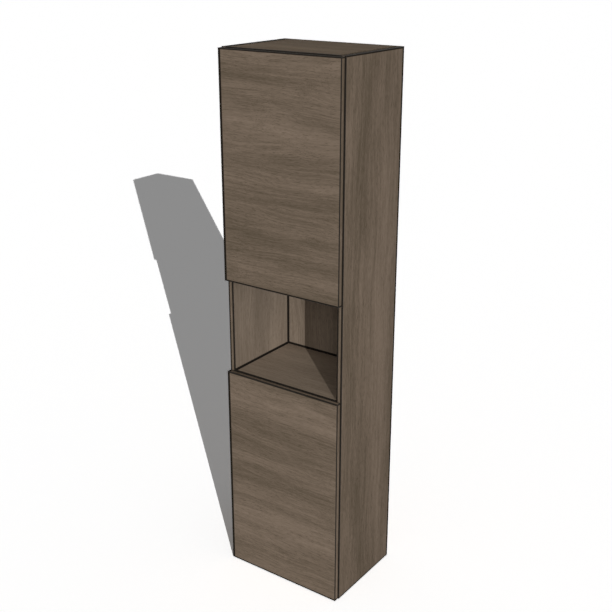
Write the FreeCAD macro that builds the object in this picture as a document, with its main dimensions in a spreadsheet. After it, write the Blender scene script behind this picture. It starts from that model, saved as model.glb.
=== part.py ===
import FreeCAD
import Part
import Sketcher
import os
import re

# A tall bathroom cabinet with two handleless doors and an open niche between them.
# Millimetres. X runs to the right, Y to the rear, Z up.
# The origin lies on the floor, under the middle of the cabinet.

doc = FreeCAD.newDocument("BathroomCabinet")
sheet = doc.addObject("Spreadsheet::Sheet", "Sizes")

SIZES = {
    # the whole cabinet
    "width": 400,
    "depth": 300,
    "height": 1600,
    "niche_level": 657,
    "niche_height": 286,
    # boards
    "board": 18,
    "door_board": 15,
    "shelf_board": 16,
    "back_board": 8,
    "back_recess": 8,
    "edge_band": 2,
    "groove_depth": 6,
    # gaps and clearances
    "door_gap": 3,
    "door_reveal": 2,
    "slip": 0.2,
    "fit": 0.05,
    "overrun": 1,
    # corner joints between the sides and the cross boards
    "joint_setback": 40,
    "system_pitch": 32,
    "dowel_radius": 4,
    "dowel_in_side": 12,
    "dowel_in_panel": 20,
    "cam_radius": 7.5,
    "cam_height": 12.5,
    "cam_reach": 24,
    "cam_slot": 1.6,
    "cam_slot_depth": 1.5,
    "bolt_radius": 3,
    "bolt_head_radius": 3.3,
    "bolt_head_length": 3,
    "bolt_thread_radius": 2.5,
    "bolt_thread_length": 11,
    # loose shelves
    "shelf_setback": 25,
    "shelf_end_gap": 1,
    "system_line": 37,
    "rear_line": 50,
    "pin_radius": 2.5,
    "pin_inside": 9,
    "pin_outside": 8,
    "row_margin": 140,
    # hinges
    "hinge_end": 100,
    "cup_radius": 17.5,
    "cup_wall": 1,
    "door_skin": 3,
    "cup_floor": 0.8,
    "cup_to_pivot": 4.1,
    "flange_rim": 0.5,
    "flange_thickness": 0.8,
    "ear_start": 3,
    "ear_end": 15,
    "ear_span": 58,
    "cup_screw_offset": 9.5,
    "cup_screw_span": 45,
    "cup_screw_radius": 1.75,
    "cup_screw_length": 10,
    "cup_screw_head_radius": 3.4,
    "cup_screw_head_height": 1,
    "pivot_clearance": 0.6,
    "swing_clearance": 0.4,
    "hinge_pin_radius": 1.25,
    "eye_radius": 2.2,
    "neck_width": 6,
    "neck_bar": 3,
    "neck_clearance": 1,
    "arm_width": 14,
    "arm_height": 7,
    "arm_wall": 1.5,
    "arm_front": 4,
    "arm_length": 58,
    "plate_thickness": 3,
    "plate_front": 8,
    "plate_length": 58,
    "plate_width": 16,
    "wing_length": 14,
    "wing_span": 50,
    "arm_screw_radius": 2.5,
    "arm_screw_front": 18,
    "arm_screw_rear": 54,
    "arm_screw_head_radius": 3.5,
    "arm_screw_head_height": 1.6,
    # screws that hold fittings in the system holes
    "euro_radius": 2.5,
    "euro_length": 12,
    "euro_head_radius": 4.2,
    "euro_head_height": 2,
    # push latches
    "latch_drop": 48,
    "latch_width": 14,
    "latch_height": 16,
    "latch_end": 7.5,
    "latch_tab": 26,
    "latch_tab_thickness": 3,
    "latch_screw_pitch": 12,
    "plunger_radius": 4,
    "plunger_length": 42,
    "plunger_tip_radius": 3.2,
    "plunger_tip_length": 2,
    "strike_radius": 7,
    "strike_thickness": 1.2,
    "latch_gap": 0.3,
    "spring_radius": 2.9,
    "spring_wire_radius": 0.4,
    "spring_length": 14,
    "spring_pitch": 2,
    # wall hangers and rail
    "hanger_drop": 46,
    "hanger_width": 18,
    "hanger_length": 50,
    "hanger_below": 24,
    "hanger_above": 20,
    "hanger_tab": 24,
    "hanger_tab_thickness": 2.5,
    "hanger_screw_span": 20,
    "adjuster_radius": 3.5,
    "adjuster_inside": 5,
    "adjuster_outside": 1.5,
    "adjuster_span": 22,
    "hook_thickness": 4,
    "hook_height": 8,
    "hook_inside": 36,
    "hook_wall_gap": 1,
    "tongue_thickness": 2,
    "tongue_length": 9,
    "notch_margin": 5,
    "rail_sheet": 2,
    "rail_lip_offset": 4,
    "rail_lip_height": 14,
    "rail_foot_height": 22,
    "rail_end_gap": 3,
    "rail_hole_radius": 3,
    "rail_hole_inset": 35,
}

for row, (alias, value) in enumerate(SIZES.items(), start=1):
    sheet.set(f"A{row}", alias)
    sheet.set(f"B{row}", str(value))
    sheet.setAlias(f"B{row}", alias)
doc.recompute()

# Counts, and the places of the loose shelves as shares of their rows of holes.
LEAST_SHELF_ROWS = 3
RAIL_HOLES = 2
SHELF_SHARES = {
    "upper_shelf_low": ("upper", 0.1),
    "upper_shelf_high": ("upper", 0.8),
    "lower_shelf": ("lower", 0.5),
}

sub_parts = []


def formula(text):
    """Turn a rule written in aliases into an expression on the sheet."""
    return re.sub(r"[a-z_]+", lambda word: ("Sizes." if word.group(0) in SIZES else "") + word.group(0), text)


def number(rule):
    """The present value of a rule."""
    return float(FreeCAD.Units.Quantity(str(sheet.evalExpression(formula(rule)))))


def sub_part(feature, label):
    """Name a finished piece, so that it is written to its own file."""
    feature.Label = label
    sub_parts.append(feature)
    return feature


def place(feature, position):
    """Bind the position of a feature to rules for x, y and z."""
    for letter, rule in zip("xyz", position):
        feature.setExpression("Placement.Base." + letter, formula(rule))


def box(name, x, y, z):
    """A block between the rules for its start and end on each axis."""
    block = doc.addObject("Part::Box", name)
    for size, (start, end) in zip(("Length", "Width", "Height"), (x, y, z)):
        block.setExpression(size, formula(f"({end}) - ({start})"))
    place(block, (x[0], y[0], z[0]))
    return block


DIRECTIONS = {
    "+x": FreeCAD.Vector(1, 0, 0),
    "-x": FreeCAD.Vector(-1, 0, 0),
    "+y": FreeCAD.Vector(0, 1, 0),
    "-y": FreeCAD.Vector(0, -1, 0),
    "+z": FreeCAD.Vector(0, 0, 1),
    "-z": FreeCAD.Vector(0, 0, -1),
}


def rod(name, direction, start, radius, length):
    """A cylinder from the rules for its start point, along a named direction."""
    cylinder = doc.addObject("Part::Cylinder", name)
    cylinder.setExpression("Radius", formula(radius))
    cylinder.setExpression("Height", formula(length))
    turn = FreeCAD.Rotation(DIRECTIONS["+z"], DIRECTIONS[direction])
    cylinder.Placement = FreeCAD.Placement(FreeCAD.Vector(), turn)
    place(cylinder, start)
    return cylinder


def joined(name, pieces):
    """Several features as one solid."""
    if len(pieces) == 1:
        return pieces[0]
    union = doc.addObject("Part::MultiFuse", name)
    union.Shapes = pieces
    return union


def cut(name, base, tools):
    """A feature with every tool taken away from it."""
    result = doc.addObject("Part::Cut", name)
    result.Base = base
    result.Tool = joined(name + "_tools", tools)
    return result


def group(name, pieces):
    """Like pieces that stay separate solids in one node."""
    bunch = doc.addObject("Part::Compound", name)
    bunch.Links = pieces
    return bunch


def mirrored_x(side, distance):
    """The rule for a place at a distance from the middle, on the left or the right."""
    return f"-({distance})" if side == "left" else f"({distance})"


def span_x(side, outer, inner):
    """The x range between two distances from the middle, on the left or the right."""
    if side == "left":
        return (f"-({outer})", f"-({inner})")
    return (inner, outer)


# Planes that several pieces share.
OUTER = "width / 2"
INNER = "(width / 2 - board)"
FRONT = "(door_board + door_gap - depth / 2)"
BOARD_FRONT = f"({FRONT} + edge_band)"
BOARD_TOP = "(height - edge_band)"
REAR = "depth / 2"
BACK_REAR = f"({REAR} - back_recess)"
BACK_FRONT = f"({BACK_REAR} - back_board)"
DOOR_FRONT = "-depth / 2"
DOOR_BACK = "(door_board - depth / 2)"
NICHE_TOP = "(niche_level + niche_height)"
SIDES = ("left", "right")
OUTWARD = {"left": "-x", "right": "+x"}
INWARD = {"left": "+x", "right": "-x"}

# Cross boards: the z of the underside, the z of the top, and the face that the cams open to.
CROSS_BOARDS = {
    "bottom_panel": ("0", "board", "up"),
    "niche_floor_panel": ("niche_level - board", "niche_level", "down"),
    "niche_ceiling_panel": (NICHE_TOP, f"{NICHE_TOP} + board", "up"),
    "top_panel": ("height - board", "height", "down"),
}

# Closed compartments: the z of the floor and of the ceiling.
COMPARTMENTS = {
    "lower": ("board", "(niche_level - board)"),
    "upper": (f"({NICHE_TOP} + board)", "(height - board)"),
}
DOORS = {
    "lower": ("door_reveal", "niche_level"),
    "upper": (NICHE_TOP, "(height - door_reveal)"),
}


def compartment_middle(level):
    floor, ceiling = COMPARTMENTS[level]
    return f"(({floor} + {ceiling}) / 2)"


def shelf_rows(level):
    """How many rows of shelf holes fit in a compartment."""
    floor, ceiling = COMPARTMENTS[level]
    return max(LEAST_SHELF_ROWS, 1 + int(number(f"({ceiling} - {floor} - 2 * row_margin) / system_pitch")))


def shelf_hole_level(level, row):
    """The z of one row of shelf holes, with the rows centred in the compartment."""
    return f"({compartment_middle(level)} + system_pitch * ({row} - ({shelf_rows(level)} - 1) / 2))"


SHELF_X = (f"shelf_end_gap - {INNER}", f"{INNER} - shelf_end_gap")
SHELF_FRONT = f"({FRONT} + shelf_setback)"
SHELF_PLACES = {}
for name, (level, share) in SHELF_SHARES.items():
    pin_level = shelf_hole_level(level, round(share * (shelf_rows(level) - 1)))
    underside = f"({pin_level} + pin_radius + fit)"
    SHELF_PLACES[name] = (pin_level, underside, f"({underside} + shelf_board)")


# Depths of the joints, from front to rear: dowel, cam, cam, dowel.
FRONT_DOWEL = f"({FRONT} + joint_setback)"
FRONT_CAM = f"({FRONT_DOWEL} + system_pitch)"
REAR_DOWEL = f"({BACK_FRONT} - joint_setback)"
REAR_CAM = f"({REAR_DOWEL} - system_pitch)"
DOWEL_LINES = (FRONT_DOWEL, REAR_DOWEL)
CAM_LINES = (FRONT_CAM, REAR_CAM)
SHELF_LINES = (f"({FRONT} + system_line)", f"({BACK_FRONT} - rear_line)")

# Hinges: the z of each hinge, and the places of the cup and the pivot.
HINGES = {}
for level, (door_bottom, door_top) in DOORS.items():
    HINGES[f"{level}_hinge_low"] = (level, f"({door_bottom} + hinge_end)")
    HINGES[f"{level}_hinge_high"] = (level, f"({door_top} - hinge_end)")
DOOR_EDGE = "(door_reveal - width / 2)"
CUP_DEPTH = "(door_board - door_skin)"
PIVOT_DEPTH = f"({CUP_DEPTH} - cup_floor - eye_radius - pivot_clearance)"
# The pivot is as far from the door's edge as lets the edge swing clear of the side.
PIVOT_EDGE = f"sqrt((door_gap + {PIVOT_DEPTH} - swing_clearance)^2 - {PIVOT_DEPTH}^2)"
SWING_RADIUS = f"(door_gap + {PIVOT_DEPTH} - swing_clearance)"
PIVOT_X = f"({DOOR_EDGE} + {PIVOT_EDGE})"
PIVOT_Y = f"({DOOR_BACK} - {PIVOT_DEPTH})"
CUP_X = f"({PIVOT_X} - cup_to_pivot + cup_radius)"
CUP_SCREW_X = f"({CUP_X} + cup_screw_offset)"
PLATE_TOP = "(board + plate_thickness - width / 2)"
WING_Y = f"({FRONT} + system_line)"


def latch_level(level):
    return f"({compartment_middle(level)} - latch_drop)"


LATCH_X = f"({INNER} - latch_width / 2)"
PLUNGER_FRONT = f"({DOOR_BACK} + strike_thickness + latch_gap)"
LATCH_TAB_START = f"({PLUNGER_FRONT} + plunger_length + spring_length + latch_end)"
LATCH_SCREW_LINES = (
    f"({LATCH_TAB_START} + (latch_tab - latch_screw_pitch) / 2)",
    f"({LATCH_TAB_START} + (latch_tab + latch_screw_pitch) / 2)",
)

HOOK_LEVEL = "(height - board - hanger_drop)"
HANGER_MIDDLE = f"({INNER} - hanger_width / 2)"
HANGER_FRONT = f"({BACK_FRONT} - hanger_length)"
HANGER_SCREW_Y = f"({HANGER_FRONT} - hanger_tab / 2)"
HANGER_SCREW_LEVELS = tuple(f"({HOOK_LEVEL} {sign} hanger_screw_span / 2)" for sign in "-+")
ADJUSTER_LEVELS = tuple(f"({HOOK_LEVEL} {sign} adjuster_span / 2)" for sign in "-+")


def side_panel(side):
    """A carcass side, drilled on its inner face and grooved for the back panel."""
    name = "side_panel_" + side
    board = box(name + "_board", span_x(side, OUTER, INNER), (BOARD_FRONT, REAR), ("0", BOARD_TOP))
    groove_x = span_x(side, f"{INNER} + groove_depth", f"{INNER} - overrun")
    groove_y = (f"{BACK_FRONT} - slip", f"{BACK_REAR} + slip")
    groove_z = ("board - groove_depth", "height - board + groove_depth")
    tools = [box(name + "_groove", groove_x, groove_y, groove_z)]
    start_x = mirrored_x(side, f"{INNER} - overrun")

    def drill(label, y, z, radius, depth):
        start = (start_x, y, z)
        tools.append(rod(f"{name}_{label}_hole", OUTWARD[side], start, radius, f"{depth} + overrun"))

    for underside, top, _ in CROSS_BOARDS.values():
        middle = f"({underside} + {top}) / 2"
        for y in DOWEL_LINES:
            drill("dowel", y, middle, "dowel_radius + fit", "dowel_in_side + slip")
        for y in CAM_LINES:
            drill("bolt", y, middle, "bolt_thread_radius + fit", "bolt_thread_length + slip")
    for level in COMPARTMENTS:
        for row in range(shelf_rows(level)):
            for y in SHELF_LINES:
                drill("shelf", y, shelf_hole_level(level, row), "pin_radius + fit", "pin_inside + slip")
    for z in HANGER_SCREW_LEVELS:
        drill("hanger", HANGER_SCREW_Y, z, "euro_radius + fit", "euro_length + slip")
    if side == "left":
        for _, z in HINGES.values():
            for sign in "-+":
                hinge_z = f"{z} {sign} system_pitch / 2"
                drill("hinge", WING_Y, hinge_z, "euro_radius + fit", "euro_length + slip")
    else:
        for level in COMPARTMENTS:
            for y in LATCH_SCREW_LINES:
                drill("latch", y, latch_level(level), "euro_radius + fit", "euro_length + slip")
    sub_part(cut(name, board, tools), name)


for side in SIDES:
    side_panel(side)


def cross_board(name, underside, top, cam_face):
    """A board between the sides, with its dowel holes, bolt holes and cam pockets."""
    behind = REAR if name in ("top_panel", "bottom_panel") else BACK_FRONT
    board = box(name + "_board", (f"-{INNER}", INNER), (BOARD_FRONT, behind), (underside, top))
    middle = f"({underside} + {top}) / 2"
    tools = []
    for side in SIDES:
        start_x = mirrored_x(side, f"{INNER} + overrun")
        for y in DOWEL_LINES:
            hole = f"{name}_dowel_hole"
            depth = "dowel_in_panel + slip + overrun"
            tools.append(rod(hole, INWARD[side], (start_x, y, middle), "dowel_radius + fit", depth))
        for y in CAM_LINES:
            hole = f"{name}_bolt_hole"
            depth = "cam_reach + overrun"
            tools.append(rod(hole, INWARD[side], (start_x, y, middle), "bolt_head_radius + slip", depth))
            pocket = f"{name}_cam_pocket"
            cam_x = mirrored_x(side, f"{INNER} - cam_reach")
            if cam_face == "up":
                start, direction = (cam_x, y, f"{top} + overrun"), "-z"
            else:
                start, direction = (cam_x, y, f"{underside} - overrun"), "+z"
            tools.append(rod(pocket, direction, start, "cam_radius + fit", "cam_height + slip + overrun"))
    grooves = {
        "top_panel": (f"{underside} - overrun", f"{underside} + groove_depth"),
        "bottom_panel": (f"{top} - groove_depth", f"{top} + overrun"),
    }
    if name in grooves:
        groove_x = (f"-{INNER} - overrun", f"{INNER} + overrun")
        groove_y = (f"{BACK_FRONT} - slip", f"{BACK_REAR} + slip")
        tools.append(box(name + "_groove", groove_x, groove_y, grooves[name]))
    sub_part(cut(name, board, tools), name)


for name, (underside, top, cam_face) in CROSS_BOARDS.items():
    cross_board(name, underside, top, cam_face)


def back_panel():
    """The thin back, held in the grooves, with a notch for each wall hook."""
    reach = f"({INNER} + groove_depth - slip)"
    levels = ("board - groove_depth + slip", "height - board + groove_depth - slip")
    board = box("back_board", (f"-{reach}", reach), (BACK_FRONT, BACK_REAR), levels)
    notches = []
    for side in SIDES:
        half = "(hook_thickness / 2 + notch_margin)"
        notch_x = span_x(side, f"{HANGER_MIDDLE} + {half}", f"{HANGER_MIDDLE} - {half}")
        notch_y = (f"{BACK_FRONT} - overrun", f"{BACK_REAR} + overrun")
        notch_bottom = f"{HOOK_LEVEL} - tongue_length - notch_margin"
        notch_z = (notch_bottom, f"{HOOK_LEVEL} + hook_height + notch_margin")
        notches.append(box("hook_notch", notch_x, notch_y, notch_z))
    sub_part(cut("back_panel", board, notches), "back_panel")


back_panel()


def carcass_edge_bands():
    """Strips glued to the seen edges of the carcass boards and the loose shelves."""
    strips = []
    depths = (FRONT, BOARD_FRONT)
    for side in SIDES:
        board_x = span_x(side, OUTER, INNER)
        strips.append(box("side_front_band", board_x, depths, ("0", "height")))
        strips.append(box("side_top_band", board_x, (BOARD_FRONT, REAR), (BOARD_TOP, "height")))
    for underside, top, _ in CROSS_BOARDS.values():
        strips.append(box("cross_band", (f"-{INNER}", INNER), depths, (underside, top)))
    for _, underside, top in SHELF_PLACES.values():
        shelf_depths = (SHELF_FRONT, f"{SHELF_FRONT} + edge_band")
        strips.append(box("shelf_band", SHELF_X, shelf_depths, (underside, top)))
    sub_part(group("carcass_bands", strips), "carcass_edge_bands")


carcass_edge_bands()


def loose_shelves():
    """Shelves that lie on four pins each, and the pins in the drilled rows."""
    pins = []
    for name, (pin_level, underside, top) in SHELF_PLACES.items():
        shelf_y = (f"{SHELF_FRONT} + edge_band", f"{BACK_FRONT} - shelf_end_gap")
        sub_part(box(name, SHELF_X, shelf_y, (underside, top)), name)
        for side in SIDES:
            for y in SHELF_LINES:
                start = (mirrored_x(side, f"{INNER} + pin_inside"), y, pin_level)
                pins.append(rod("shelf_pin", INWARD[side], start, "pin_radius", "pin_inside + pin_outside"))
    sub_part(group("shelf_pin_group", pins), "shelf_pins")


loose_shelves()


def corner_fittings():
    """Dowels, cams and cam bolts at both ends of every cross board."""
    dowels, cams, bolts = [], [], []
    for underside, top, cam_face in CROSS_BOARDS.values():
        middle = f"({underside} + {top}) / 2"
        for side in SIDES:
            for y in DOWEL_LINES:
                start = (mirrored_x(side, f"{INNER} + dowel_in_side"), y, middle)
                length = "dowel_in_side + dowel_in_panel"
                dowels.append(rod("dowel", INWARD[side], start, "dowel_radius", length))
            for y in CAM_LINES:
                cams.append(cam_lock(side, y, underside, top, cam_face))
                bolts.append(cam_bolt(side, y, middle))
    sub_part(group("dowel_group", dowels), "dowels")
    sub_part(group("cam_group", cams), "cam_locks")
    sub_part(group("bolt_group", bolts), "cam_bolts")


def cam_lock(side, y, underside, top, cam_face):
    """A round cam with a bore for the bolt head and a driver slot in its open face."""
    middle = f"({underside} + {top}) / 2"
    cam_x = mirrored_x(side, f"{INNER} - cam_reach")
    if cam_face == "up":
        direction, face = "-z", top
        slot_z = (f"{face} - cam_slot_depth", f"{face} + overrun")
    else:
        direction, face = "+z", underside
        slot_z = (f"{face} - overrun", f"{face} + cam_slot_depth")
    disc = rod("cam_disc", direction, (cam_x, y, face), "cam_radius", "cam_height")
    bore_start = (mirrored_x(side, f"{INNER} - cam_reach + cam_radius + overrun"), y, middle)
    bore = rod("cam_bore", INWARD[side], bore_start, "bolt_head_radius + slip", "cam_radius + overrun")
    slot_x = (f"{cam_x} - cam_radius / 2", f"{cam_x} + cam_radius / 2")
    slot = box("cam_driver_slot", slot_x, (f"{y} - cam_slot / 2", f"{y} + cam_slot / 2"), slot_z)
    return cut("cam_lock", disc, [bore, slot])


def cam_bolt(side, y, middle):
    """A bolt screwed into the side, with a head that the cam draws in."""
    start = (mirrored_x(side, f"{INNER} + bolt_thread_length"), y, middle)
    thread = rod("bolt_thread", INWARD[side], start, "bolt_thread_radius", "bolt_thread_length + slip")
    start = (mirrored_x(side, INNER), y, middle)
    shank = rod("bolt_shank", INWARD[side], start, "bolt_radius", "cam_reach - slip")
    start = (mirrored_x(side, f"{INNER} - cam_reach + bolt_head_length + slip"), y, middle)
    head = rod("bolt_head", INWARD[side], start, "bolt_head_radius", "bolt_head_length")
    return joined("cam_bolt", [thread, shank, head])


corner_fittings()


def door(level):
    """An overlay door with two cup bores, pilot holes and a banded rim."""
    name = level + "_door"
    bottom, top = DOORS[level]
    half_width = "(width / 2 - door_reveal)"
    depths = (DOOR_FRONT, DOOR_BACK)
    core_half = f"({half_width} - edge_band)"
    core_z = (f"{bottom} + edge_band", f"{top} - edge_band")
    core = box(name + "_board", (f"-{core_half}", core_half), depths, core_z)
    tools = []
    for hinge_level, z in HINGES.values():
        if hinge_level != level:
            continue
        start = (CUP_X, f"{DOOR_BACK} + overrun", z)
        bore_depth = f"{CUP_DEPTH} + slip + overrun"
        tools.append(rod(name + "_cup_bore", "-y", start, "cup_radius + fit", bore_depth))
        for sign in "-+":
            start = (CUP_SCREW_X, f"{DOOR_BACK} + overrun", f"{z} {sign} cup_screw_span / 2")
            pilot_depth = "cup_screw_length + slip + overrun"
            tools.append(rod(name + "_pilot", "-y", start, "cup_screw_radius + fit", pilot_depth))
    sub_part(cut(name, core, tools), name)
    full_x = (f"-{half_width}", half_width)
    strips = [
        box(name + "_band", full_x, depths, (bottom, f"{bottom} + edge_band")),
        box(name + "_band", full_x, depths, (f"{top} - edge_band", top)),
        box(name + "_band", (f"-{half_width}", f"-{core_half}"), depths, core_z),
        box(name + "_band", (core_half, half_width), depths, core_z),
    ]
    sub_part(group(name + "_bands", strips), name + "_edge_bands")


for level in DOORS:
    door(level)


def across(z, width):
    """The z range of a piece centred on a hinge."""
    return (f"{z} - {width} / 2", f"{z} + {width} / 2")


def hinge_plate(name, z):
    """A steel plate on the side, with two wings on the system holes."""
    plate_x = ("board - width / 2", PLATE_TOP)
    plate_y = (f"{FRONT} + plate_front", f"{FRONT} + plate_front + plate_length")
    strip = box(name + "_strip", plate_x, plate_y, across(z, "plate_width"))
    wing_y = (f"{WING_Y} - wing_length / 2", f"{WING_Y} + wing_length / 2")
    wings = box(name + "_wings", plate_x, wing_y, across(z, "wing_span"))
    holes = []
    for sign in "-+":
        start = (f"{PLATE_TOP} + overrun", WING_Y, f"{z} {sign} system_pitch / 2")
        through = "plate_thickness + 2 * overrun"
        holes.append(rod(name + "_wing_hole", "-x", start, "euro_radius + fit", through))
    for setback in ("arm_screw_front", "arm_screw_rear"):
        start = (f"{PLATE_TOP} + overrun", f"{FRONT} + {setback}", z)
        blind = "plate_thickness - slip + overrun"
        holes.append(rod(name + "_arm_hole", "-x", start, "arm_screw_radius + fit", blind))
    sub_part(cut(name + "_plate", joined(name + "_plate_blank", [strip, wings]), holes), name + "_plate")


def hinge_arm(name, z):
    """A channel on the plate, with a bent neck that reaches into the cup to the pin."""
    neck_x = f"({PIVOT_X} + {SWING_RADIUS} + neck_clearance)"
    neck_z = across(z, "neck_width")
    eye = rod(name + "_eye", "+z", (PIVOT_X, PIVOT_Y, neck_z[0]), "eye_radius", "neck_width")
    root_y = (f"{PIVOT_Y} - neck_bar / 2", f"{PIVOT_Y} + neck_bar / 2")
    root = box(name + "_root", (PIVOT_X, f"{neck_x} + neck_bar"), root_y, neck_z)
    arm_start = f"({FRONT} + arm_front)"
    neck_y = (root_y[0], f"{arm_start} + arm_wall")
    neck = box(name + "_neck", (neck_x, f"{neck_x} + neck_bar"), neck_y, neck_z)
    channel_x = (PLATE_TOP, f"{PLATE_TOP} + arm_height")
    channel_y = (arm_start, f"{arm_start} + arm_length")
    channel = box(name + "_channel", channel_x, channel_y, across(z, "arm_width"))
    blank = joined(name + "_arm_blank", [eye, root, neck, channel])
    hollow_x = (f"{PLATE_TOP} + arm_wall", f"{PLATE_TOP} + arm_height + overrun")
    hollow_y = (f"{arm_start} + arm_wall", f"{arm_start} + arm_length - arm_wall")
    tools = [box(name + "_hollow", hollow_x, hollow_y, across(z, "(arm_width - 2 * arm_wall)"))]
    bore_start = (PIVOT_X, PIVOT_Y, f"{neck_z[0]} - overrun")
    through = "neck_width + 2 * overrun"
    tools.append(rod(name + "_eye_bore", "+z", bore_start, "hinge_pin_radius + fit", through))
    for setback in ("arm_screw_front", "arm_screw_rear"):
        start = (f"{PLATE_TOP} - overrun", f"{FRONT} + {setback}", z)
        through = "arm_wall + 2 * overrun"
        tools.append(rod(name + "_screw_hole", "+x", start, "arm_screw_radius + fit", through))
    sub_part(cut(name + "_arm", blank, tools), name + "_arm")


def hinge_cup(name, z):
    """A deep-drawn cup in the door, with a flange and two screw ears."""
    flange_face = f"({DOOR_BACK} + flange_thickness)"
    shell = rod(name + "_shell", "-y", (CUP_X, DOOR_BACK, z), "cup_radius", CUP_DEPTH)
    rim = rod(name + "_rim", "-y", (CUP_X, flange_face, z), "cup_radius + flange_rim", "flange_thickness")
    ear_x = (f"{CUP_X} + ear_start", f"{CUP_X} + ear_end")
    ears = box(name + "_ears", ear_x, (DOOR_BACK, flange_face), across(z, "ear_span"))
    blank = joined(name + "_cup_blank", [shell, rim, ears])
    start = (CUP_X, f"{flange_face} + overrun", z)
    depth = f"{CUP_DEPTH} - cup_floor + flange_thickness + overrun"
    tools = [rod(name + "_mouth", "-y", start, "cup_radius - cup_wall", depth)]
    pin_start = (PIVOT_X, PIVOT_Y, f"{z} - cup_radius")
    tools.append(rod(name + "_pin_hole", "+z", pin_start, "hinge_pin_radius + fit", "2 * cup_radius"))
    for sign in "-+":
        start = (CUP_SCREW_X, f"{flange_face} + overrun", f"{z} {sign} cup_screw_span / 2")
        through = "flange_thickness + 2 * overrun"
        tools.append(rod(name + "_ear_hole", "-y", start, "cup_screw_radius + fit", through))
    sub_part(cut(name + "_cup", blank, tools), name + "_cup")


def hinge_pin(name, z):
    """The pin across the cup, on which the door turns, with its ends trimmed inside the wall."""
    start = (PIVOT_X, PIVOT_Y, f"{z} - cup_radius")
    wire = rod(name + "_wire", "+z", start, "hinge_pin_radius", "2 * cup_radius")
    reach = rod(name + "_reach", "-y", (CUP_X, DOOR_BACK, z), "cup_radius - cup_wall / 2", CUP_DEPTH)
    pin = doc.addObject("Part::MultiCommon", name + "_pin")
    pin.Shapes = [wire, reach]
    sub_part(pin, name + "_pin")


for name, (_, z) in HINGES.items():
    hinge_plate(name, z)
    hinge_arm(name, z)
    hinge_cup(name, z)
    hinge_pin(name, z)


def screw(kind, direction, seat, length):
    """A screw whose head sits on the seat and whose shank runs along the direction."""
    opposite = direction.translate(str.maketrans("+-", "-+"))
    head = rod(kind + "_head", opposite, seat, f"{kind}_head_radius", f"{kind}_head_height")
    shank = rod(kind + "_shank", direction, seat, f"{kind}_radius", length)
    return joined(kind, [head, shank])


def hinge_screws():
    """Screws that hold the cups in the doors and the arms on the plates."""
    arm_screws = []
    for level in DOORS:
        cup_screws = []
        for hinge_level, z in HINGES.values():
            if hinge_level != level:
                continue
            for sign in "-+":
                seat = (CUP_SCREW_X, f"{DOOR_BACK} + flange_thickness", f"{z} {sign} cup_screw_span / 2")
                cup_screws.append(screw("cup_screw", "-y", seat, "cup_screw_length"))
            for setback in ("arm_screw_front", "arm_screw_rear"):
                seat = (f"{PLATE_TOP} + arm_wall", f"{FRONT} + {setback}", z)
                arm_screws.append(screw("arm_screw", "-x", seat, "arm_wall + plate_thickness - 2 * slip"))
        sub_part(group(level + "_cup_screw_group", cup_screws), level + "_cup_screws")
    sub_part(group("arm_screw_group", arm_screws), "hinge_arm_screws")


hinge_screws()


def latch(level):
    """A push latch on the right side, and its strike plate on the door."""
    name = level + "_latch"
    z = latch_level(level)
    body_x = (f"{INNER} - latch_width", INNER)
    body_z = across(z, "latch_height")
    body = box(name + "_block", body_x, (FRONT, LATCH_TAB_START), body_z)
    tab_x = (f"{INNER} - latch_tab_thickness", INNER)
    tab = box(name + "_tab", tab_x, (LATCH_TAB_START, f"{LATCH_TAB_START} + latch_tab"), body_z)
    bore_start = (LATCH_X, f"{FRONT} - overrun", z)
    bore_length = f"{PLUNGER_FRONT} - {FRONT} + plunger_length + spring_length + overrun"
    tools = [rod(name + "_bore", "+y", bore_start, "plunger_radius + slip", bore_length)]
    for y in LATCH_SCREW_LINES:
        start = (f"{INNER} - latch_tab_thickness - overrun", y, z)
        through = "latch_tab_thickness + 2 * overrun"
        tools.append(rod(name + "_tab_hole", "+x", start, "euro_radius + fit", through))
    blank = joined(name + "_blank", [body, tab])
    sub_part(cut(name + "_housing", blank, tools), name + "_housing")

    shaft_start = (LATCH_X, f"{PLUNGER_FRONT} + plunger_tip_length", z)
    shaft = rod(name + "_shaft", "+y", shaft_start, "plunger_radius", "plunger_length - plunger_tip_length")
    tip = rod(name + "_tip", "+y", (LATCH_X, PLUNGER_FRONT, z), "plunger_tip_radius", "plunger_length")
    sub_part(joined(name + "_rod", [shaft, tip]), name + "_plunger")

    strike_start = (LATCH_X, DOOR_BACK, z)
    sub_part(rod(name + "_disc", "+y", strike_start, "strike_radius", "strike_thickness"), name + "_strike")
    latch_spring(name, z)


def latch_spring(name, z):
    """The coil behind the plunger that pushes the door open."""
    coil = doc.addObject("Part::Helix", name + "_coil")
    coil.setExpression("Radius", formula("spring_radius"))
    coil.setExpression("Pitch", formula("spring_pitch"))
    coil.setExpression("Height", formula("spring_length - 4 * spring_wire_radius"))
    wire = doc.addObject("Part::Circle", name + "_wire")
    wire.setExpression("Radius", formula("spring_wire_radius"))
    wire.Placement = FreeCAD.Placement(FreeCAD.Vector(), FreeCAD.Rotation(DIRECTIONS["+z"], DIRECTIONS["+y"]))
    place(wire, ("spring_radius", "0", "0"))
    spring = doc.addObject("Part::Sweep", name + "_sweep")
    spring.Sections = [wire]
    spring.Spine = (coil, ["Edge1"])
    spring.Solid = True
    spring.Frenet = True
    turn = FreeCAD.Rotation(DIRECTIONS["+z"], DIRECTIONS["+y"])
    spring.Placement = FreeCAD.Placement(FreeCAD.Vector(), turn)
    place(spring, (LATCH_X, f"{PLUNGER_FRONT} + plunger_length + 2 * spring_wire_radius", z))
    sub_part(spring, name + "_spring")


for level in DOORS:
    latch(level)


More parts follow.
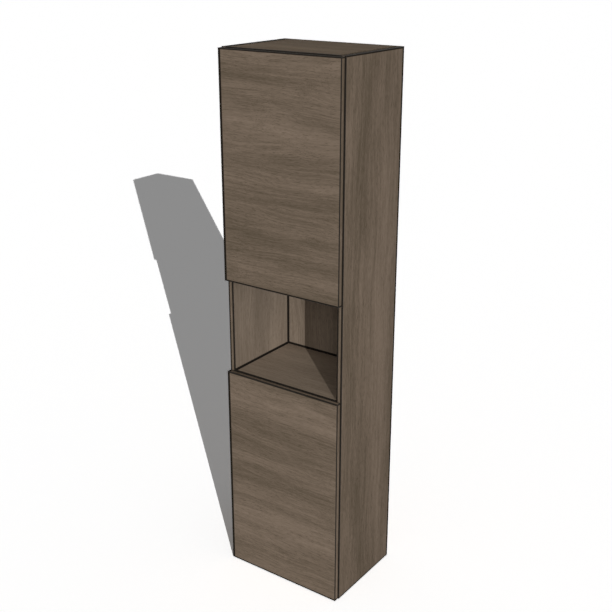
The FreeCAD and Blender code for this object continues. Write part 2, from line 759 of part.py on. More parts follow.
def hanger(side):
    """A wall hanger in an upper rear corner: a screwed body and the hook that it adjusts."""
    name = "hanger_body_" + side
    levels = (f"{HOOK_LEVEL} - hanger_below", f"{HOOK_LEVEL} + hanger_above")
    body_x = span_x(side, INNER, f"{INNER} - hanger_width")
    body = box(name + "_block", body_x, (HANGER_FRONT, BACK_FRONT), levels)
    tab_x = span_x(side, INNER, f"{INNER} - hanger_tab_thickness")
    tab = box(name + "_tab", tab_x, (f"{HANGER_FRONT} - hanger_tab", HANGER_FRONT), levels)
    half = "hook_thickness / 2"
    slot_x = span_x(side, f"{HANGER_MIDDLE} + {half} + slip", f"{HANGER_MIDDLE} - {half} - slip")
    slot_y = (f"{BACK_FRONT} - hook_inside - slip", f"{BACK_FRONT} + overrun")
    slot = box(name + "_slot", slot_x, slot_y, (f"{HOOK_LEVEL} - slip", f"{HOOK_LEVEL} + hook_height + slip"))
    tools = [slot]
    for z in ADJUSTER_LEVELS:
        start = (mirrored_x(side, HANGER_MIDDLE), f"{HANGER_FRONT} - overrun", z)
        blind = "adjuster_inside + slip + overrun"
        tools.append(rod(name + "_adjuster_hole", "+y", start, "adjuster_radius + fit", blind))
    for z in HANGER_SCREW_LEVELS:
        start = (mirrored_x(side, f"{INNER} - hanger_tab_thickness - overrun"), HANGER_SCREW_Y, z)
        through = "hanger_tab_thickness + 2 * overrun"
        tools.append(rod(name + "_tab_hole", OUTWARD[side], start, "euro_radius + fit", through))
    sub_part(cut(name, joined(name + "_blank", [body, tab]), tools), name)

    name = "hanger_hook_" + side
    hook_x = span_x(side, f"{HANGER_MIDDLE} + {half}", f"{HANGER_MIDDLE} - {half}")
    hook_end = f"({REAR} - hook_wall_gap)"
    bar = box(name + "_bar", hook_x, (f"{BACK_FRONT} - hook_inside", hook_end),
              (HOOK_LEVEL, f"{HOOK_LEVEL} + hook_height"))
    tongue = box(name + "_tongue", hook_x, (f"{hook_end} - tongue_thickness", hook_end),
                 (f"{HOOK_LEVEL} - tongue_length", f"{HOOK_LEVEL} + hook_height"))
    sub_part(joined(name, [bar, tongue]), name)


for side in SIDES:
    hanger(side)


def hanger_adjusters():
    """The height and depth screws on the face of each hanger."""
    screws = []
    for side in SIDES:
        for z in ADJUSTER_LEVELS:
            start = (mirrored_x(side, HANGER_MIDDLE), f"{HANGER_FRONT} - adjuster_outside", z)
            length = "adjuster_outside + adjuster_inside"
            screws.append(rod("adjuster", "+y", start, "adjuster_radius", length))
    sub_part(group("adjuster_group", screws), "hanger_adjusters")


hanger_adjusters()


def euro_screws():
    """The like screws that hold plates, latches and hangers to the sides."""
    seats = []
    for _, z in HINGES.values():
        for sign in "-+":
            seats.append(("-x", (PLATE_TOP, WING_Y, f"{z} {sign} system_pitch / 2"), "plate_thickness"))
    for level in DOORS:
        for y in LATCH_SCREW_LINES:
            seat = (f"{INNER} - latch_tab_thickness", y, latch_level(level))
            seats.append(("+x", seat, "latch_tab_thickness"))
    for side in SIDES:
        for z in HANGER_SCREW_LEVELS:
            seat = (mirrored_x(side, f"{INNER} - hanger_tab_thickness"), HANGER_SCREW_Y, z)
            seats.append((OUTWARD[side], seat, "hanger_tab_thickness"))
    screws = []
    for direction, seat, clamped in seats:
        screws.append(screw("euro", direction, seat, f"euro_length + {clamped}"))
    sub_part(group("euro_screw_group", screws), "euro_screws")


euro_screws()


def attach(sketch, body, plane):
    """Lay a sketch on one of its body's origin planes."""
    support = next(item for item in body.Origin.OriginFeatures if item.Role == plane)
    sketch.AttachmentSupport = [(support, "")]
    sketch.MapMode = "FlatFace"


def outline_sketch(body, name, plane, outline):
    """A closed outline of straight lines whose corners are bound to rules."""
    sketch = body.newObject("Sketcher::SketchObject", name)
    attach(sketch, body, plane)
    corners = [FreeCAD.Vector(*(number(rule) for rule in corner), 0) for corner in outline]
    for index, corner in enumerate(corners):
        sketch.addGeometry(Part.LineSegment(corner, corners[(index + 1) % len(corners)]))
    for index, rules in enumerate(outline):
        following = (index + 1) % len(outline)
        sketch.addConstraint(Sketcher.Constraint("Coincident", index, 2, following, 1))
        bind_point(sketch, index, 1, rules)
    return sketch


def sketched_circle(sketch, across_rule, up_rule, radius_rule):
    """A circle in a sketch, with its centre and radius bound to rules."""
    centre = FreeCAD.Vector(number(across_rule), number(up_rule), 0)
    circle = sketch.addGeometry(Part.Circle(centre, FreeCAD.Vector(0, 0, 1), number(radius_rule)))
    bind_point(sketch, circle, 3, (across_rule, up_rule))
    index = sketch.addConstraint(Sketcher.Constraint("Radius", circle, number(radius_rule)))
    sketch.setExpression(f"Constraints[{index}]", formula(radius_rule))


def bind_point(sketch, geometry, point, rules):
    """Bind a point's distances from the sketch origin to rules."""
    for kind, rule in zip(("DistanceX", "DistanceY"), rules):
        index = sketch.addConstraint(Sketcher.Constraint(kind, -1, 1, geometry, point, number(rule)))
        sketch.setExpression(f"Constraints[{index}]", formula(rule))


def wall_rail():
    """The folded steel rail that is screwed to the wall, in the recess behind the back."""
    body = doc.addObject("PartDesign::Body", "wall_rail")
    lip_top = "0"
    step_top = "(rail_sheet - rail_lip_height)"
    foot_end = "(-rail_lip_height - rail_foot_height)"
    wall = "(rail_lip_offset + rail_sheet)"
    outline = [
        ("0", lip_top),
        ("rail_sheet", lip_top),
        ("rail_sheet", step_top),
        (wall, step_top),
        (wall, foot_end),
        ("rail_lip_offset", foot_end),
        ("rail_lip_offset", "-rail_lip_height"),
        ("0", "-rail_lip_height"),
    ]
    sketch = outline_sketch(body, "rail_section", "YZ_Plane", outline)
    pad = body.newObject("PartDesign::Pad", "rail_pad")
    pad.Profile = sketch
    pad.setExpression("Length", formula(f"2 * ({INNER} - rail_end_gap)"))
    pad.Midplane = True
    hole_level = "(-rail_lip_height - rail_foot_height / 2)"
    sketch = body.newObject("Sketcher::SketchObject", "rail_hole_sketch")
    attach(sketch, body, "XZ_Plane")
    end_hole = f"({INNER} - rail_end_gap - rail_hole_inset)"
    for hole in range(RAIL_HOLES):
        offset = f"{end_hole} * (2 * {hole} / ({RAIL_HOLES} - 1) - 1)"
        sketched_circle(sketch, offset, hole_level, "rail_hole_radius")
    pocket = body.newObject("PartDesign::Pocket", "rail_holes")
    pocket.Profile = sketch
    pocket.Type = "ThroughAll"
    pocket.Reversed = False
    pocket.Midplane = True
    body.Tip = pocket
    place(body, ("0", f"{REAR} - {wall}", f"{HOOK_LEVEL} - slip"))
    sub_part(body, "wall_rail")


wall_rail()

doc.recompute()
os.makedirs("parts", exist_ok=True)
for feature in doc.Objects:
    if "Invalid" in feature.State or "Error" in feature.State:
        raise RuntimeError(f"{feature.Label} did not build: {feature.State}")
for part in sub_parts:
    if part.Shape.isNull() or not part.Shape.isValid():
        raise RuntimeError(f"{part.Label} has no valid shape")
    part.Shape.exportStep(f"parts/{part.Label}.step")
print(len(sub_parts), "sub-parts written")
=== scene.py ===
import math

import bmesh
import bpy
from mathutils import Matrix, Vector


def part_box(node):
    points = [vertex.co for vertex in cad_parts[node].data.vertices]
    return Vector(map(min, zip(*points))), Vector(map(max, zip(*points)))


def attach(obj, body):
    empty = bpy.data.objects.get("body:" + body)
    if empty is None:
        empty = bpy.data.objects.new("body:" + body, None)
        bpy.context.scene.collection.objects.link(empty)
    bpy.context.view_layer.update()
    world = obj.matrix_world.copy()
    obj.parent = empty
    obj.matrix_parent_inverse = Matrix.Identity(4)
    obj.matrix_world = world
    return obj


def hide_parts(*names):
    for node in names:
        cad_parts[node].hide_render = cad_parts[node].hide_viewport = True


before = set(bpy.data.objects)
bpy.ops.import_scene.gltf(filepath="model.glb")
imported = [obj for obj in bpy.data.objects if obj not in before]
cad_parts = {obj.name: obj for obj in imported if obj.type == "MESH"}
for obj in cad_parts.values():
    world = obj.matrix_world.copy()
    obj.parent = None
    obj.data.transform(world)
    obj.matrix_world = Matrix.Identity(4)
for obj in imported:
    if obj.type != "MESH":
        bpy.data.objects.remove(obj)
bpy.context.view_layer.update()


# Side panels: melamine-faced chipboard, sawn to size, grooved for the back and drilled
# on the inner face. The decor paper is a grey-brown walnut print with its grain upright.
# Sawn edges without a band show the pressed chips.

MM = 0.001


def linear(hex_colour):
    """An sRGB hex colour as linear RGBA."""
    channels = [int(hex_colour[place:place + 2], 16) / 255 for place in (1, 3, 5)]
    return (*(value / 12.92 if value <= 0.04045 else ((value + 0.055) / 1.055) ** 2.4
              for value in channels), 1.0)


def add(material, kind, inputs=None, stops=(), **settings):
    """Add a node with its settings, a ramp's stops, and its inputs as values or other nodes' outputs."""
    made = material.node_tree.nodes.new("ShaderNode" + kind)
    for name, value in settings.items():
        setattr(made, name, value)
    for number, (position, colour) in enumerate(stops):
        elements = made.color_ramp.elements
        element = elements[number] if number < len(elements) else elements.new(position)
        element.position = position
        element.color = linear(colour)
    for socket, value in (inputs or {}).items():
        if isinstance(value, bpy.types.NodeSocket):
            material.node_tree.links.new(value, made.inputs[socket])
        else:
            made.inputs[socket].default_value = value
    return made


def new_material(name):
    """A material with no nodes yet."""
    material = bpy.data.materials.new(name)
    material.use_nodes = True
    material.node_tree.nodes.clear()
    return material


# A grain layer is a noise drawn out along the grain: its length and width in millimetres,
# its detail, and its weight in the tone. The pores are drawn coarser than real so they show.
GRAIN_LAYERS = {
    "growth_bands": (800, 66, 2.0, 0.78),
    "streaks": (230, 5.5, 3.0, 0.60),
    "fibres": (18, 2.4, 1.0, 0.28),
}
PORE_LENGTH, PORE_WIDTH, PORE_DARKNESS = 22, 0.9, 0.34
PORE_START, PORE_FULL = 0.58, 0.70
PORE_DEPTH = 0.2 * MM
MID_TONE = 0.54
# The grain wanders sideways in slow waves. Their length, width and swing are in millimetres.
GRAIN_WAVE_LENGTH, GRAIN_WAVE_WIDTH, GRAIN_WAVE_SWING = 450, 160, 66
GRAIN_TURN = {"x": (0, 0, 0), "y": (0, 0, -math.pi / 2), "z": (0, math.pi / 2, 0)}
OUTSIDE_TONES = ((0.20, "#544A3D"), (0.50, "#6A5D50"), (0.80, "#7E6F61"))
# The inside tones are painted lighter than the outside ones, as painted light where the lamps reach
# less.
INSIDE_BRIGHTENED_TONES = ((0.20, "#665B4E"), (0.50, "#796C5F"), (0.80, "#8B7D6E"))
# Dark lines are painted along edges and into inner corners, as painted shade. A line reaches
# this far from its plane, in millimetres, and then fades out.
PAINTED_SHADE_LINE = "#211D19"
HAIR, SLIM, FINE, WIDE, BROAD = 2.4, 3.4, 4.4, 6.6, 8.0
LINE_FADE = 1.4
MELAMINE_ROUGH_LEAST, MELAMINE_ROUGH_MOST = 0.52, 0.66
MELAMINE_SHINE = 0.001


def drawn_out(length, width):
    """The scale at which a noise is so many millimetres long and wide."""
    return 1 / (length * MM), 1 / (width * MM), 1 / (width * MM)


def walnut_decor(name, grain, shift, lines=(), tones=OUTSIDE_TONES, breadth=1.0):
    """Melamine with a printed walnut grain: matt, with short dark pores pressed into it.
    Its breadth stretches the print across the grain. A line is a plane where the colour is painted
    dark into an edge, or into a corner, as painted shade: its axis, its place and the line's width,
    and the axis and ends of its span where it stops short."""
    material = new_material(name)
    place = add(material, "TexCoord").outputs["Object"]
    turned = add(material, "Mapping",
                 {"Vector": place, "Rotation": GRAIN_TURN[grain], "Location": shift})
    slow = add(material, "VectorMath",
               {0: turned.outputs[0], 1: drawn_out(GRAIN_WAVE_LENGTH, GRAIN_WAVE_WIDTH)},
               operation="MULTIPLY")
    wave = add(material, "TexNoise", {"Vector": slow.outputs[0], "Scale": 1.0, "Detail": 2.0})
    swing = (0, GRAIN_WAVE_SWING * MM, GRAIN_WAVE_SWING * MM)
    flowing = add(material, "VectorMath", {0: wave.outputs["Color"], 1: swing, 2: turned.outputs[0]},
                  operation="MULTIPLY_ADD")
    tone = MID_TONE - sum(weight for *_, weight in GRAIN_LAYERS.values()) / 2
    layers = {}
    for layer, (length, width, detail, weight) in GRAIN_LAYERS.items():
        drawn = add(material, "VectorMath",
                    {0: flowing.outputs[0], 1: drawn_out(length, breadth * width)},
                    operation="MULTIPLY")
        noise = add(material, "TexNoise", {"Vector": drawn.outputs[0], "Scale": 1.0, "Detail": detail})
        layers[layer] = noise.outputs[0]
        tone = add(material, "Math", {0: noise.outputs[0], 1: weight, 2: tone},
                   operation="MULTIPLY_ADD").outputs[0]
    fine = add(material, "VectorMath", {0: flowing.outputs[0], 1: drawn_out(PORE_LENGTH, PORE_WIDTH)},
               operation="MULTIPLY")
    specks = add(material, "TexNoise", {"Vector": fine.outputs[0], "Scale": 1.0, "Detail": 1.0})
    pores = add(material, "MapRange", {"Value": specks.outputs[0], "From Min": PORE_START,
                                       "From Max": PORE_FULL}).outputs[0]
    tone = add(material, "Math", {0: pores, 1: -PORE_DARKNESS, 2: tone},
               operation="MULTIPLY_ADD").outputs[0]
    colour = add(material, "ValToRGB", {"Fac": tone}, tones).outputs["Color"]
    axes = add(material, "SeparateXYZ", {"Vector": place}).outputs
    # Each line mixes painted shade into the colour near its plane.
    for axis, position, width, *span in lines:
        offset = add(material, "Math", {0: axes[axis.upper()], 1: position}, operation="SUBTRACT")
        distance = add(material, "Math", {0: offset.outputs[0]}, operation="ABSOLUTE")
        clear = add(material, "MapRange", {"Value": distance.outputs[0], "From Min": width * MM,
                                           "From Max": (width + LINE_FADE) * MM}).outputs[0]
        if span:
            along, start, stop = span
            beyond = add(material, "Math", {0: axes[along.upper()], 1: (start + stop) / 2},
                         operation="SUBTRACT")
            reach = add(material, "Math", {0: beyond.outputs[0]}, operation="ABSOLUTE")
            past = add(material, "Math", {0: reach.outputs[0], 1: (stop - start) / 2},
                       operation="GREATER_THAN")
            clear = add(material, "Math", {0: clear, 1: past.outputs[0]}, operation="MAXIMUM").outputs[0]
        mixed = add(material, "Mix", {0: clear, 6: linear(PAINTED_SHADE_LINE), 7: colour}, data_type="RGBA")
        colour = mixed.outputs[2]
    matt = add(material, "MapRange", {"Value": layers["streaks"], "To Min": MELAMINE_ROUGH_LEAST,
                                      "To Max": MELAMINE_ROUGH_MOST})
    relief = add(material, "Bump", {"Height": pores, "Strength": 0.3, "Distance": PORE_DEPTH},
                 invert=True)
    shader = add(material, "BsdfPrincipled",
                 {"Base Color": colour, "Roughness": matt.outputs[0], "Normal": relief.outputs[0],
                  "Specular IOR Level": MELAMINE_SHINE})
    add(material, "OutputMaterial", {"Surface": shader.outputs[0]})
    return material


def chipboard_core():
    """Pressed wood chips and glue, sawn through: pale and dark flakes of a few millimetres."""
    flake, dust_patch, flake_weight = 2.8 * MM, 11.2 * MM, 0.6
    material = new_material("chipboard_core")
    place = add(material, "TexCoord").outputs["Object"]
    chips = add(material, "TexVoronoi", {"Vector": place, "Scale": 1 / flake, "Randomness": 1.0})
    dust = add(material, "TexNoise", {"Vector": place, "Scale": 1 / dust_patch, "Detail": 4.0})
    shade = add(material, "SeparateColor", {"Color": chips.outputs["Color"]})
    tone = add(material, "Math", {0: shade.outputs[0], 1: flake_weight, 2: dust.outputs[0]},
               operation="MULTIPLY_ADD")
    colour = add(material, "ValToRGB", {"Fac": tone.outputs[0]},
                 ((0.25, "#5F4C37"), (0.65, "#8C7356"), (1.0, "#AB9270")))
    matt = add(material, "MapRange", {"Value": dust.outputs[0], "To Min": 0.78, "To Max": 0.92})
    relief = add(material, "Bump",
                 {"Height": chips.outputs["Distance"], "Strength": 0.4, "Distance": 0.4 * MM})
    shader = add(material, "BsdfPrincipled",
                 {"Base Color": colour.outputs["Color"], "Roughness": matt.outputs[0],
                  "Normal": relief.outputs[0]})
    add(material, "OutputMaterial", {"Surface": shader.outputs[0]})
    return material


def dark_abs():
    """The brown-black ABS of the edge bands, seen where a band is trimmed round an arris."""
    scrape = 4 * MM
    material = new_material("dark_brown_abs")
    place = add(material, "TexCoord").outputs["Object"]
    marks = add(material, "TexNoise", {"Vector": place, "Scale": 1 / scrape, "Detail": 3.0})
    colour = add(material, "ValToRGB", {"Fac": marks.outputs[0]}, ((0.3, "#1B1815"), (0.7, "#27231E")))
    gloss = add(material, "MapRange", {"Value": marks.outputs[0], "To Min": 0.40, "To Max": 0.60})
    relief = add(material, "Bump", {"Height": marks.outputs[0], "Strength": 0.1, "Distance": 0.2 * MM})
    shader = add(material, "BsdfPrincipled",
                 {"Base Color": colour.outputs["Color"], "Roughness": gloss.outputs[0],
                  "Normal": relief.outputs[0], "Specular IOR Level": 0.1})
    add(material, "OutputMaterial", {"Surface": shader.outputs[0]})
    return material


CORE = chipboard_core()
ARRIS = dark_abs()
ARRIS_WIDTH = 1.6 * MM
CREASE = math.radians(25)
FLAT = math.radians(0.5)
TOUCH = 0.01 * MM
SAME_POINT = 0.001 * MM
AXES = {"x": 0, "y": 1, "z": 2}
WAYS = {"-x": Vector((-1, 0, 0)), "+x": Vector((1, 0, 0)), "-y": Vector((0, -1, 0)),
        "+y": Vector((0, 1, 0)), "-z": Vector((0, 0, -1)), "+z": Vector((0, 0, 1))}
# A face looks along a way if its normal goes that way by more than this.
FACING = 0.9


def merged_copy(node, whole_faces=True):
    """A CAD node's mesh as one closed shape, with its flat faces whole or still in triangles."""
    shape = bmesh.new()
    shape.from_mesh(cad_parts[node].data)
    bmesh.ops.remove_doubles(shape, verts=shape.verts, dist=SAME_POINT)
    if whole_faces:
        bmesh.ops.dissolve_limit(shape, angle_limit=FLAT, verts=shape.verts, edges=shape.edges)
    return shape


def on_planes(vert, planes):
    """Whether a vertex lies on each of some planes, given as an axis and a place."""
    return all(abs(vert.co[AXES[axis]] - place) < TOUCH for axis, place in planes)


def finished(name, shape, materials, node, body):
    """Turn a bmesh into a piece that stands for a CAD node and rides on its body."""
    for face in shape.faces:
        face.smooth = True
    for edge in shape.edges:
        edge.smooth = edge.calc_face_angle(math.pi) < CREASE
    mesh = bpy.data.meshes.new(name)
    shape.to_mesh(mesh)
    shape.free()
    for material in materials:
        mesh.materials.append(material)
    piece = bpy.data.objects.new(name, mesh)
    bpy.context.collection.objects.link(piece)
    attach(piece, body)
    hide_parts(node)
    return piece


def faced(name, node, body, materials, choose, arrises=()):
    """A merged copy of a CAD node, with a material for each face and rounded dark arrises.
    An arris is the pair of planes that meet in it. The arris material is the last."""
    shape = merged_copy(node)
    for face in shape.faces:
        face.material_index = choose(face)
    edges = [edge for edge in shape.edges for planes in arrises
             if all(on_planes(vert, planes) for vert in edge.verts)]
    if edges:
        rounded = bmesh.ops.bevel(shape, geom=edges, offset=ARRIS_WIDTH, segments=2, profile=0.5,
                                  affect="EDGES", material=-1)
        for face in rounded["faces"]:
            face.material_index = len(materials) - 1
    return finished(name, shape, materials, node, body)


def two_faced(way):
    """A choice of material by the way a face looks: the first for that way, the second for the
    way against it, and the third for the edges between."""
    def choose(face):
        facing = face.normal.dot(WAYS[way])
        return 0 if facing > FACING else 1 if facing < -FACING else 2
    return choose


SIDE_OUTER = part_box("side_panel_right")[1].x
SIDE_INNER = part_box("side_panel_right")[0].x
CARCASS_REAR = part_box("side_panel_right")[1].y
NICHE_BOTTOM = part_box("niche_floor_panel")[1].z
NICHE_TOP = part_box("niche_ceiling_panel")[0].z
BACK_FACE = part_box("back_panel")[0].y
FRONT_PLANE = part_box("carcass_edge_bands")[0].y
TOP_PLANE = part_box("carcass_edge_bands")[1].z
NICHE_SPAN = ("z", NICHE_BOTTOM, NICHE_TOP)
NICHE_REACH = ("y", FRONT_PLANE, BACK_FACE)

SIDE_BREADTH = 1.8
# Where each side is cut from the print, in metres: along it, across it, and its depth in the log.
SIDE_CUTS = {
    "left": ((2.31, 2.58, 0.6), (-0.848, 0.562, -0.182)),
    "right": ((-1.31, 3.654, 0.2), (2.5, 0.81, 0.5)),
}
# The outer faces are painted dark along their rear, bottom and top edges, as painted shade.
side_rims = [("y", CARCASS_REAR, BROAD), ("z", 0, FINE), ("z", TOP_PLANE, FINE)]
# The inner faces are painted dark into the niche's corners, as painted shade.
side_corners = [("z", NICHE_BOTTOM, FINE, *NICHE_REACH), ("z", NICHE_TOP, FINE, *NICHE_REACH),
                ("y", BACK_FACE, FINE, *NICHE_SPAN)]
for side, way, outermost in (("left", "-x", -SIDE_OUTER), ("right", "+x", SIDE_OUTER)):
    outer_cut, inner_cut = SIDE_CUTS[side]
    outer = walnut_decor(f"walnut_melamine_{side}_outside", "z", outer_cut, side_rims,
                         breadth=SIDE_BREADTH)
    inner = walnut_decor(f"walnut_melamine_{side}_inside", "z", inner_cut, side_corners, INSIDE_BRIGHTENED_TONES)
    outside = ("x", outermost)
    faced(f"side_board_{side}", "side_panel_" + side, "carcass",
          [outer, inner, CORE, ARRIS], two_faced(way),
          [(outside, ("y", CARCASS_REAR)), (outside, ("z", 0))])


# Cross boards: the same chipboard between the sides, held by dowels and cams. The top and
# the bottom close the carcass, and the two middle boards are the floor and ceiling of the
# open niche. The grain runs across the cabinet.

# The top is painted darker than the outside tones, as painted shade on a face that the light grazes.
TOP_SHADED_TONES = ((0.20, "#51463A"), (0.50, "#645749"), (0.80, "#756756"))
# The niche's floor and ceiling are painted lighter, as painted light inside the niche.
NICHE_BRIGHTENED_TONES = ((0.20, "#736557"), (0.50, "#837566"), (0.80, "#928373"))
# The boards are painted dark into the niche's corners, and the top along its left, right and rear edges,
# as painted shade.
corner_lines = [("x", SIDE_INNER, FINE), ("x", -SIDE_INNER, FINE)]
niche_lines = corner_lines + [("y", BACK_FACE, FINE), ("y", FRONT_PLANE, FINE)]
top_lines = [("x", -SIDE_INNER, BROAD), ("x", SIDE_INNER, HAIR), ("y", CARCASS_REAR, BROAD)]
top_arris = (("z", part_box("top_panel")[1].z), ("y", CARCASS_REAR))
bottom_arris = (("z", 0), ("y", CARCASS_REAR))
# Each board: the shift of its print, the way its shown face looks, that face's lines and tones,
# and its arrises.
CROSS_BOARDS = {
    "top_panel": ((1.0, 0.55, 0.9), "+z", top_lines, TOP_SHADED_TONES, [top_arris]),
    "bottom_panel": ((1.4, 0.6, 0.1), "-z", (), OUTSIDE_TONES, [bottom_arris]),
    "niche_floor_panel": ((3.508, 0.25, -0.657), "+z", niche_lines, NICHE_BRIGHTENED_TONES, ()),
    "niche_ceiling_panel": ((3.1, 0.7, 0.6), "-z", niche_lines, NICHE_BRIGHTENED_TONES, ()),
}
for node, (shift, shown_way, lines, tones, arrises) in CROSS_BOARDS.items():
    shown = walnut_decor(f"walnut_melamine_{node}_shown", "x", shift, lines, tones)
    plain = walnut_decor(f"walnut_melamine_{node}_inside", "x", shift, (), INSIDE_BRIGHTENED_TONES)
    faced(node.replace("panel", "board"), node, "carcass",
          [shown, plain, CORE, ARRIS], two_faced(shown_way), arrises)


# Back panel: thin hardboard slid into the grooves, with the walnut print on the niche's side
# and bare brown fibre behind. It is notched for the wall hooks.

def bare_hardboard():
    """Pressed wood fibre, smooth and brown, with a faint mottle and a mesh-side nap."""
    mottle, fibre, nap_weight = 30 * MM, 1.2 * MM, 0.5
    material = new_material("bare_hardboard")
    place = add(material, "TexCoord").outputs["Object"]
    cloud = add(material, "TexNoise", {"Vector": place, "Scale": 1 / mottle, "Detail": 3.0})
    nap = add(material, "TexNoise", {"Vector": place, "Scale": 1 / fibre, "Detail": 2.0})
    tone = add(material, "Math", {0: nap.outputs[0], 1: nap_weight, 2: cloud.outputs[0]},
               operation="MULTIPLY_ADD")
    colour = add(material, "ValToRGB", {"Fac": tone.outputs[0]},
                 ((0.45, "#54432F"), (0.75, "#68533D"), (1.0, "#7A634A")))
    matt = add(material, "MapRange", {"Value": nap.outputs[0], "To Min": 0.66, "To Max": 0.84})
    relief = add(material, "Bump", {"Height": nap.outputs[0], "Strength": 0.3, "Distance": 0.3 * MM})
    shader = add(material, "BsdfPrincipled",
                 {"Base Color": colour.outputs["Color"], "Roughness": matt.outputs[0],
                  "Normal": relief.outputs[0]})
    add(material, "OutputMaterial", {"Surface": shader.outputs[0]})
    return material


BACK_CUT = (0.9, 1.3, 0.8)
# The back is painted dark into the niche's corners, as painted shade.
back_lines = [(*line, *NICHE_SPAN) for line in corner_lines]
back_lines += [("z", NICHE_BOTTOM, FINE), ("z", NICHE_TOP, FINE)]
back_decor = walnut_decor("walnut_print_back", "z", BACK_CUT, back_lines, INSIDE_BRIGHTENED_TONES)
faced("back_board", "back_panel", "carcass", [back_decor, bare_hardboard()],
      lambda face: 0 if face.normal.y < -FACING else 1)


# Dowels: turned and fluted beech pegs, glued into the joints between the sides and the cross
# boards. They keep the shape of the CAD model.

def turned_beech():
    """Beech: pale pinkish brown, with short dark flecks along the peg."""
    fleck_length, fleck_width = 6, 0.8
    material = new_material("turned_beech")
    place = add(material, "TexCoord").outputs["Object"]
    drawn = add(material, "VectorMath", {0: place, 1: drawn_out(fleck_length, fleck_width)},
                operation="MULTIPLY")
    flecks = add(material, "TexNoise", {"Vector": drawn.outputs[0], "Scale": 1.0, "Detail": 2.0})
    colour = add(material, "ValToRGB", {"Fac": flecks.outputs[0]}, ((0.3, "#A57F58"), (0.7, "#C9A67C")))
    matt = add(material, "MapRange", {"Value": flecks.outputs[0], "To Min": 0.52, "To Max": 0.68})
    relief = add(material, "Bump", {"Height": flecks.outputs[0], "Strength": 0.2, "Distance": 0.2 * MM})
    shader = add(material, "BsdfPrincipled",
                 {"Base Color": colour.outputs["Color"], "Roughness": matt.outputs[0],
                  "Normal": relief.outputs[0]})
    add(material, "OutputMaterial", {"Surface": shader.outputs[0]})
    return material


def finish(node, material):
    """Give a CAD node that stays as it is the material it is seen in."""
    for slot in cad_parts[node].material_slots:
        slot.material = material


finish("dowels", turned_beech())


# Cam fittings: die-cast zinc cams let into the cross boards, each with a driver slot, and
# turned steel bolts in the sides that the cams draw tight.

def plated_metal(name, dark, light, smoothest, roughest):
    """A plated or cast metal: bright, with a faint cloudiness and fine drawing marks."""
    cloud, scratch = 12 * MM, 0.8 * MM
    material = new_material(name)
    place = add(material, "TexCoord").outputs["Object"]
    patches = add(material, "TexNoise", {"Vector": place, "Scale": 1 / cloud, "Detail": 2.0})
    marks = add(material, "TexNoise", {"Vector": place, "Scale": 1 / scratch, "Detail": 2.0})
    colour = add(material, "ValToRGB", {"Fac": patches.outputs[0]}, ((0.3, dark), (0.7, light)))
    gloss = add(material, "MapRange",
                {"Value": patches.outputs[0], "To Min": smoothest, "To Max": roughest})
    relief = add(material, "Bump", {"Height": marks.outputs[0], "Strength": 0.08, "Distance": 0.1 * MM})
    shader = add(material, "BsdfPrincipled",
                 {"Base Color": colour.outputs["Color"], "Metallic": 1.0, "Roughness": gloss.outputs[0],
                  "Normal": relief.outputs[0]})
    add(material, "OutputMaterial", {"Surface": shader.outputs[0]})
    return material


SHARP = math.radians(50)
# An edge shorter than so many radii is left as it is.
LONG_EDGE = 3


def rounded_fitting(name, node, body, material, radius, whole_faces=True):
    """A merged copy of a CAD node whose longer sharp edges are rounded, as tools leave them."""
    shape = merged_copy(node, whole_faces)
    sharp = [edge for edge in shape.edges
             if edge.calc_face_angle(0) > SHARP and edge.calc_length() > LONG_EDGE * radius]
    bmesh.ops.bevel(shape, geom=sharp, offset=radius, segments=2, profile=0.5, affect="EDGES",
                    material=-1, clamp_overlap=True)
    return finished(name, shape, [material], node, body)


CAM_ROUND = 0.35 * MM
nickel = plated_metal("nickel_plated_steel", "#B4B0A8", "#CBC7BF", 0.24, 0.38)
zinc = plated_metal("die_cast_zinc", "#8F9091", "#A6A7A8", 0.39, 0.53)
rounded_fitting("cams", "cam_locks", "carcass", zinc, CAM_ROUND)
finish("cam_bolts", nickel)


# Edge bands: strips of dark ABS with the walnut print on the outer face, glued on hot and
# trimmed with a radius, so that a thin dark line shows along each arris.

BAND_ARRIS = 1.3 * MM
BAND_CUT = (0.6, 0.4, 0.3)


def banding(name, node, body, strips, lines):
    """Band strips as one piece. A strip has its two corners, the way its print faces, the ways
    its other open faces look, and the axis of its grain. Lines are for each axis of grain."""
    prints = [walnut_decor(f"walnut_print_{name}_{axis}", axis, BAND_CUT, lines.get(axis, ()))
              for axis in AXES]
    bare = len(prints)
    shape = bmesh.new()
    for low, high, print_way, open_ways, grain in strips:
        size = Matrix.Diagonal((*(high - low), 1.0))
        made = bmesh.ops.create_cube(shape, size=1.0,
                                     matrix=Matrix.Translation((low + high) / 2) @ size)
        faces = dict.fromkeys(face for vert in made["verts"] for face in vert.link_faces)
        rounded = []
        for face in faces:
            face.material_index = bare
            if face.normal.dot(WAYS[print_way]) > FACING:
                face.material_index = AXES[grain]
                for edge in face.edges:
                    other = next(linked for linked in edge.link_faces if linked is not face)
                    if any(other.normal.dot(WAYS[way]) > FACING for way in open_ways):
                        rounded.append(edge)
        arris = bmesh.ops.bevel(shape, geom=rounded, offset=BAND_ARRIS, segments=2, profile=0.5,
                                affect="EDGES", material=-1)
        for face in arris["faces"]:
            face.material_index = bare
    return finished(name, shape, [*prints, ARRIS], node, body)


BOARD_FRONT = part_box("side_panel_right")[0].y
BOARD_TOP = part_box("side_panel_right")[1].z
BAND_THICKNESS = BOARD_FRONT - FRONT_PLANE
SHELVES = ("lower_shelf", "upper_shelf_low", "upper_shelf_high")

